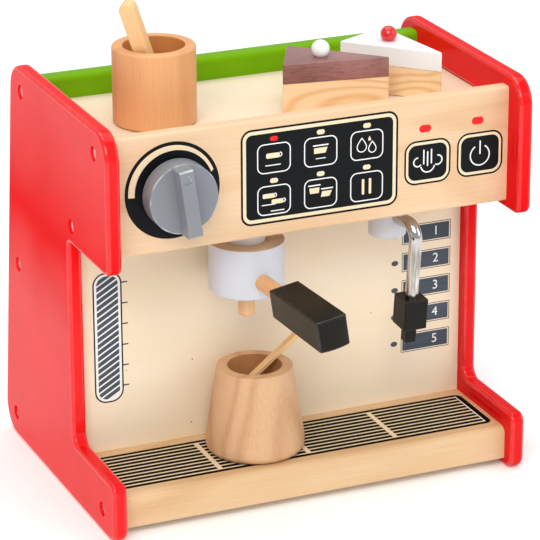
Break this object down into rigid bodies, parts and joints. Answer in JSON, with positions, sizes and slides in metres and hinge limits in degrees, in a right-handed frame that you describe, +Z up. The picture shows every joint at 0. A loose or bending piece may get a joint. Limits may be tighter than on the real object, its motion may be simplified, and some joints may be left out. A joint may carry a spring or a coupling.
{
  "type": "toy coffee maker",
  "caption": "Wooden toy coffee maker with a turning knob, a magnetic portafilter, a swivelling steam wand, cups with stirrers and cake slices.",
  "frame": {"origin": "on the floor under the middle of the overall box", "axes": "+X to the right seen from the front, +Y to the back, +Z up"},
  "size_m": [0.27, 0.2607, 0.3074],
  "materials": {
    "red_paint": "gloss red lacquer on board",
    "green_paint": "satin green lacquer on board",
    "pine": "clear matt lacquer",
    "birch_ply": "clear matt lacquer",
    "beech": "clear satin lacquer",
    "grey_plastic": "fine satin",
    "grey_paint": "satin light grey lacquer",
    "black_paint": "gloss black lacquer",
    "white_paint": "satin white lacquer",
    "brown_paint": "satin brown lacquer",
    "chrome": "polished",
    "zinc": "zinc plated"
  },
  "bodies": {
    "housing": {"left_side_panel": "red_paint", "right_side_panel": "red_paint", "front_panel": "pine", "top_shelf": "birch_ply", "rear_panel": "green_paint", "head_board": "pine", "display_panel": "birch_ply", "base_board": "pine", "side_screws": "zinc", "group_plug": "grey_paint", "plug_screw": "zinc", "plug_magnet": "chrome"},
    "selector": {"knob": "grey_plastic", "knob_screw": "zinc", "knob_washer": "zinc"},
    "holding_magnet": {"filter_magnet": "chrome"},
    "portafilter": {"filter_cup": "grey_paint", "spout": "beech", "handle_dowel": "beech", "handle_grip": "black_paint"},
    "steam_wand": {"steam_boss": "grey_paint", "boss_screw": "zinc", "boss_washer": "zinc", "steam_tube": "chrome", "nozzle_block": "black_paint", "nozzle_tip": "black_paint"},
    "tray_cup": {"tray_cup": "beech"},
    "tray_stirrer": {"tray_stirrer": "pine"},
    "shelf_cup": {"shelf_cup": "beech"},
    "shelf_stirrer": {"shelf_stirrer": "pine"},
    "brown_slice": {"brown_sponge": "pine", "brown_icing": "brown_paint", "white_ball": "white_paint"},
    "white_slice": {"white_sponge": "pine", "white_icing": "white_paint", "red_ball": "red_paint"}
  },
  "joints": [
    {"name": "knob_turn", "type": "hinge", "parent": "housing", "child": "selector", "pos_m": [-0.0875, -0.05164, 0.208], "axis": [0, -1, 0], "continuous": true},
    {"name": "portafilter_drop", "type": "slide", "parent": "housing", "child": "holding_magnet", "axis": [0, 0, -1], "range_m": [0, 0.016]},
    {"name": "portafilter_swivel", "type": "hinge", "parent": "holding_magnet", "child": "portafilter", "pos_m": [-0.03, -0.01664, 0.146], "axis": [0, 0, 1], "range_deg": [-80, 30]},
    {"name": "wand_swivel", "type": "hinge", "parent": "housing", "child": "steam_wand", "pos_m": [0.0625, -0.01664, 0.173], "axis": [0, 0, 1], "range_deg": [-30, 80]},
    {"name": "tray_cup_slide", "type": "slide", "parent": "housing", "child": "tray_cup", "axis": [0, -1, 0], "range_m": [0, 0.06]},
    {"name": "tray_stirrer_lift", "type": "slide", "parent": "tray_cup", "child": "tray_stirrer", "axis": [0.7875, 0, 0.6163], "range_m": [0, 0.03]},
    {"name": "shelf_cup_lift", "type": "slide", "parent": "housing", "child": "shelf_cup", "axis": [0, 0, 1], "range_m": [0, 0.04]},
    {"name": "shelf_stirrer_lift", "type": "slide", "parent": "shelf_cup", "child": "shelf_stirrer", "axis": [-0.309, 0, 0.9511], "range_m": [0, 0.04]},
    {"name": "brown_slice_lift", "type": "slide", "parent": "housing", "child": "brown_slice", "axis": [0, 0, 1], "range_m": [0, 0.04]},
    {"name": "white_slice_lift", "type": "slide", "parent": "housing", "child": "white_slice", "axis": [0, 0, 1], "range_m": [0, 0.04]}
  ]
}
